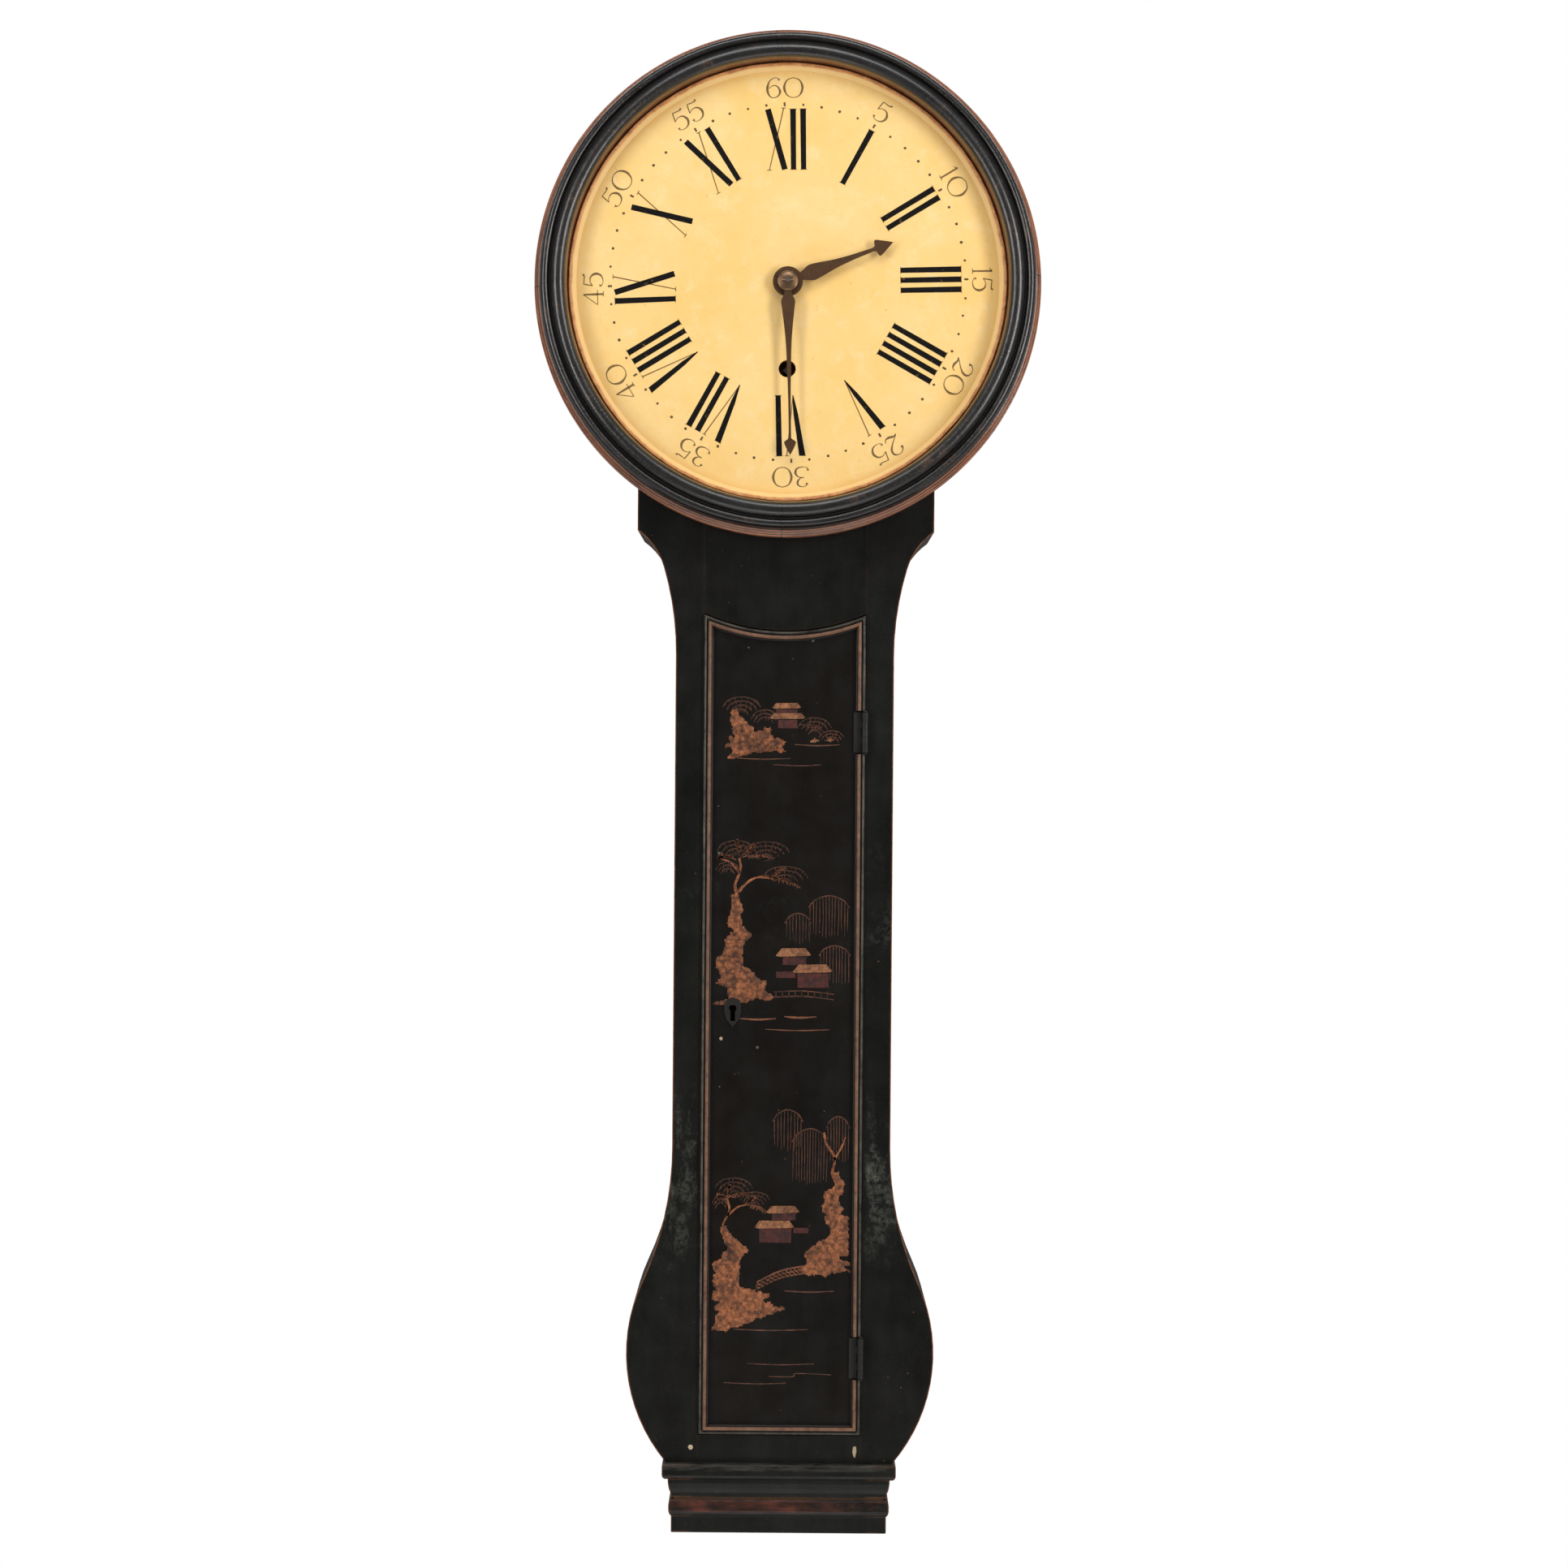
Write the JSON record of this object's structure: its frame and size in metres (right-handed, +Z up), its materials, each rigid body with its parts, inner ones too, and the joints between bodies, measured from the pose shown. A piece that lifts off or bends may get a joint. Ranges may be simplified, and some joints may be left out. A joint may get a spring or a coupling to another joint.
{
  "type": "tavern clock",
  "caption": "Wall-hung weight-driven tavern timepiece: large round painted dial over a shouldered black japanned trunk with a lockable door, swelling round the pendulum, on a stepped base.",
  "frame": {"origin": "centre of the hanging hole in the iron plate, on the wall plane", "axes": "+Z up along the clock's height, +Y into the wall along the hanging hole, +X to the right as seen from the room; the dial faces -Y"},
  "size_m": [0.472, 0.1954, 1.4005],
  "materials": {
    "japanned_case": "black japanning, satin to glossy, worn to red-brown at the edges",
    "painted_dial": "oil-painted warm cream over boards, varnished",
    "interior_wood": "unpolished oak and pine, darkened by age",
    "brass": "aged brass, lightly brushed",
    "steel": "polished and blued steel, dulled",
    "wrought_iron": "dark wrought iron",
    "lead": "cast lead, dull grey",
    "gut": "twisted gut, amber",
    "blackened_hands": "blackened brass, almost matt",
    "gilt_bead": "rubbed gilding over red bole"
  },
  "bodies": {
    "case": {"backboard": "interior_wood", "hanging_plate": "wrought_iron", "hanging_plate_screws": "wrought_iron", "trunk_side_left": "japanned_case", "trunk_side_right": "japanned_case", "front_stile_left": "japanned_case", "front_stile_right": "japanned_case", "front_rails": "japanned_case", "head_side_left": "japanned_case", "head_side_right": "japanned_case", "head_top_board": "japanned_case", "base_block": "interior_wood", "base_mouldings": "japanned_case", "seatboard": "interior_wood", "dial_board": "painted_dial", "dial_battens": "interior_wood", "dial_moulding": "japanned_case", "dial_bead": "gilt_bead", "case_hinge_leaves": "wrought_iron", "back_plate": "brass", "front_plate": "brass", "movement_pillars": "brass", "seatboard_fittings": "steel", "back_cock": "brass", "hour_bridge": "brass", "gut_line_running": "gut", "gut_line_fixed": "gut"},
    "trunk_door": {"door_panel": "japanned_case", "door_moulding": "japanned_case", "door_hinge_leaves": "wrought_iron", "keyhole_escutcheon": "wrought_iron", "lock_case": "wrought_iron"},
    "bolt": {"lock_bolt": "wrought_iron"},
    "left_side_door": {"side_door_left": "japanned_case", "side_door_left_fittings": "brass"},
    "right_side_door": {"side_door_right": "japanned_case", "side_door_right_fittings": "brass"},
    "centre": {"centre_arbor": "steel", "centre_wheel": "brass", "cannon_pinion": "brass", "minute_hand": "blackened_hands", "hand_collet": "blackened_hands"},
    "hour": {"hour_wheel": "brass", "hour_hand": "blackened_hands"},
    "motion": {"minute_wheel": "brass"},
    "great": {"great_wheel": "brass", "click": "steel"},
    "winding": {"winding_arbor": "steel", "barrel": "brass"},
    "third": {"third_wheel": "brass"},
    "escape": {"escape_wheel": "brass"},
    "pendulum": {"pallets_and_crutch": "steel", "suspension_spring": "steel", "pendulum_rod": "steel"},
    "bob": {"pendulum_bob": "brass"},
    "nut": {"rating_nut": "brass"},
    "driving_weight": {"weight": "lead", "pulley_block": "brass", "gut_loop": "gut"},
    "sheave": {"pulley": "brass"}
  },
  "joints": [
    {"name": "trunk_door_hinge", "type": "hinge", "parent": "case", "child": "trunk_door", "pos_m": [0.07525, -0.1545, -0.89], "axis": [0, 0, 1], "range_deg": [0, 115]},
    {"name": "lock_bolt_throw", "type": "slide", "parent": "trunk_door", "child": "bolt", "axis": [-1, 0, 0], "range_m": [0, 0.009]},
    {"name": "left_side_door_hinge", "type": "hinge", "parent": "case", "child": "left_side_door", "pos_m": [-0.1334, -0.037, -0.19], "axis": [0, 0, -1], "range_deg": [0, 100]},
    {"name": "right_side_door_hinge", "type": "hinge", "parent": "case", "child": "right_side_door", "pos_m": [0.1334, -0.037, -0.19], "axis": [0, 0, 1], "range_deg": [0, 100]},
    {"name": "minute_hand_spin", "type": "hinge", "parent": "case", "child": "centre", "pos_m": [0, -0.1, -0.19], "axis": [0, 1, 0], "continuous": true},
    {"name": "hour_hand_spin", "type": "hinge", "parent": "case", "child": "hour", "pos_m": [0, -0.1, -0.19], "axis": [0, 1, 0], "continuous": true},
    {"name": "minute_wheel_spin", "type": "hinge", "parent": "case", "child": "motion", "pos_m": [0, -0.12, -0.2212], "axis": [0, 1, 0], "continuous": true},
    {"name": "great_wheel_spin", "type": "hinge", "parent": "case", "child": "great", "pos_m": [0, -0.105, -0.27], "axis": [0, 1, 0], "continuous": true},
    {"name": "third_wheel_spin", "type": "hinge", "parent": "case", "child": "third", "pos_m": [0.01878, -0.09, -0.16584], "axis": [0, 1, 0], "continuous": true},
    {"name": "escape_wheel_spin", "type": "hinge", "parent": "case", "child": "escape", "pos_m": [0, -0.079, -0.144], "axis": [0, 1, 0], "continuous": true},
    {"name": "pendulum_swing", "type": "hinge", "parent": "case", "child": "pendulum", "pos_m": [0, -0.038, -0.113], "axis": [0, 1, 0], "range_deg": [-2.5, 2.5]},
    {"name": "bob_height", "type": "slide", "parent": "pendulum", "child": "bob", "axis": [0, 0, 1], "range_m": [-0.004, 0.004]},
    {"name": "rating_nut_turn", "type": "hinge", "parent": "bob", "child": "nut", "pos_m": [0, -0.038, -1.19], "axis": [0, 0, 1], "range_deg": [-1801, 1801]},
    {"name": "weight_lift", "type": "slide", "parent": "case", "child": "driving_weight", "axis": [0, 0, 1], "range_m": [0, 0.65], "deforming": ["gut_line_running", "gut_line_fixed"]},
    {"name": "barrel_winding", "type": "hinge", "parent": "case", "child": "winding", "pos_m": [0, -0.088, -0.27], "axis": [0, 1, 0], "range_deg": [-5, 5310]},
    {"name": "pulley_turn", "type": "hinge", "parent": "driving_weight", "child": "sheave", "pos_m": [0, -0.088, -1.05], "axis": [0, 1, 0], "range_deg": [-5, 2660]}
  ],
  "couplings": [
    {"joint": "hour_hand_spin", "follows": "minute_hand_spin", "ratio": 0.083333},
    {"joint": "minute_wheel_spin", "follows": "minute_hand_spin", "ratio": -1},
    {"joint": "great_wheel_spin", "follows": "minute_hand_spin", "ratio": -0.083333},
    {"joint": "third_wheel_spin", "follows": "minute_hand_spin", "ratio": -7.5},
    {"joint": "escape_wheel_spin", "follows": "minute_hand_spin", "ratio": 60},
    {"joint": "rating_nut_turn", "follows": "bob_height", "rad_per_m": 7854},
    {"joint": "barrel_winding", "follows": "weight_lift", "rad_per_m": 142.35},
    {"joint": "pulley_turn", "follows": "weight_lift", "rad_per_m": 71.174}
  ]
}
